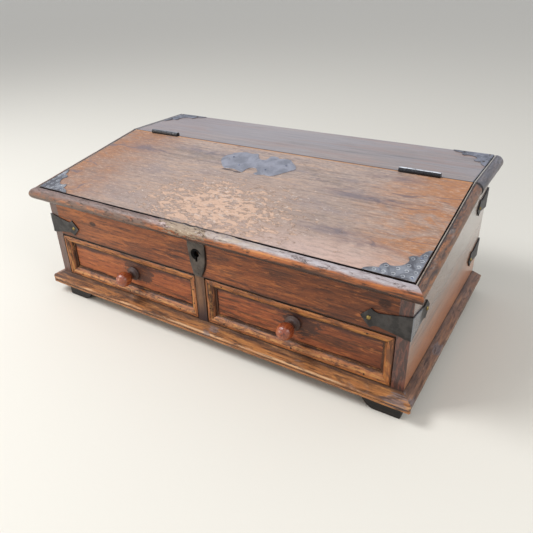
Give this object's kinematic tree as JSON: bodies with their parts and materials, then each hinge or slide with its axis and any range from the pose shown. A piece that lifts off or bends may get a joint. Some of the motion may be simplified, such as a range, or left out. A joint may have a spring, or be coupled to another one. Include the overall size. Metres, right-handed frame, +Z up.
{
  "type": "letter writing box with drawer",
  "caption": "Slant-lidded wooden letter box on low feet, with a hinged sloping lid over a letter compartment, side-by-side drawers below, iron corner straps, and a lock.",
  "frame": {"origin": "middle of the floor area the box covers, at the bottom of its feet", "axes": "+X runs along the box's width to its right as seen from the front, +Y from its front to its back, +Z up"},
  "size_m": [0.632, 0.3714, 0.2341],
  "materials": {
    "case_wood": "old rubbed polish",
    "side_wood": "worn, greyed polish",
    "lid_wood": "worn polish",
    "top_wood": "dark polish",
    "nosing_wood": "dark polish, worn on top",
    "base_wood": "worn polish",
    "drawer_wood": "old rubbed polish",
    "frame_wood": "worn polish",
    "inside_wood": "bare wood",
    "back_wood": "bare wood, darkened",
    "knob_wood": "gloss polish",
    "foot_wood": "black stain",
    "strap_iron": "black, rubbed",
    "plate_iron": "thin sheet, blued and dull",
    "escutcheon_iron": "dull",
    "hinge_iron": "black, worn bright on top",
    "lock_iron": "dull",
    "pin_iron": "dull",
    "screw_steel": "dull",
    "nail_brass": "tarnished"
  },
  "bodies": {
    "case": {"bottom_board": "back_wood", "right_side": "side_wood", "left_side": "side_wood", "front_board": "case_wood", "back_board": "back_wood", "compartment_floor": "inside_wood", "centre_stile": "case_wood", "drawer_divider": "inside_wood", "drawer_stops": "inside_wood", "base_moulding_front": "base_wood", "base_moulding_right": "base_wood", "base_moulding_left": "base_wood", "foot_front_right": "foot_wood", "foot_front_left": "foot_wood", "foot_rear_right": "foot_wood", "foot_rear_left": "foot_wood", "top_board": "top_wood", "top_moulding_right": "nosing_wood", "top_moulding_left": "nosing_wood", "top_plate_right": "plate_iron", "top_plate_left": "plate_iron", "strap_nails": "nail_brass", "case_plate_pins": "pin_iron", "case_screws": "screw_steel", "escutcheon": "escutcheon_iron", "lock_case": "lock_iron", "hinge_pins": "hinge_iron", "front_strap_right": "strap_iron", "front_strap_left": "strap_iron", "rear_upper_strap_right": "strap_iron", "rear_upper_strap_left": "strap_iron", "rear_lower_strap_right": "strap_iron", "rear_lower_strap_left": "strap_iron", "hinge_fixed_leaf_left": "hinge_iron", "hinge_fixed_leaf_right": "hinge_iron"},
    "lock_bolt": {"lock_bolt": "lock_iron"},
    "lid": {"lid_panel": "lid_wood", "lid_moulding_front": "nosing_wood", "lid_moulding_right": "nosing_wood", "lid_moulding_left": "nosing_wood", "lid_plate_right": "plate_iron", "lid_plate_left": "plate_iron", "lid_crest_plate": "plate_iron", "lid_plate_pins": "pin_iron", "lid_screws": "screw_steel", "lid_link_plate": "lock_iron", "hinge_lid_leaf_left": "hinge_iron", "hinge_lid_leaf_right": "hinge_iron"},
    "drawer_left": {"drawer_front_left": "drawer_wood", "drawer_frame_left": "frame_wood", "drawer_sides_left": "inside_wood", "drawer_back_left": "inside_wood", "drawer_bottom_left": "inside_wood", "drawer_knob_left": "knob_wood"},
    "drawer_right": {"drawer_front_right": "drawer_wood", "drawer_frame_right": "frame_wood", "drawer_sides_right": "inside_wood", "drawer_back_right": "inside_wood", "drawer_bottom_right": "inside_wood", "drawer_knob_right": "knob_wood"}
  },
  "joints": [
    {"name": "lid_hinge", "type": "hinge", "parent": "case", "child": "lid", "pos_m": [0, 0.0517, 0.2301], "axis": [-1, 0, 0], "range_deg": [0, 185]},
    {"name": "drawer_left_slide", "type": "slide", "parent": "case", "child": "drawer_left", "axis": [0, -1, 0], "range_m": [0, 0.24]},
    {"name": "drawer_right_slide", "type": "slide", "parent": "case", "child": "drawer_right", "axis": [0, -1, 0], "range_m": [0, 0.24]},
    {"name": "lock_bolt_slide", "type": "slide", "parent": "case", "child": "lock_bolt", "axis": [1, 0, 0], "range_m": [0, 0.008]}
  ]
}
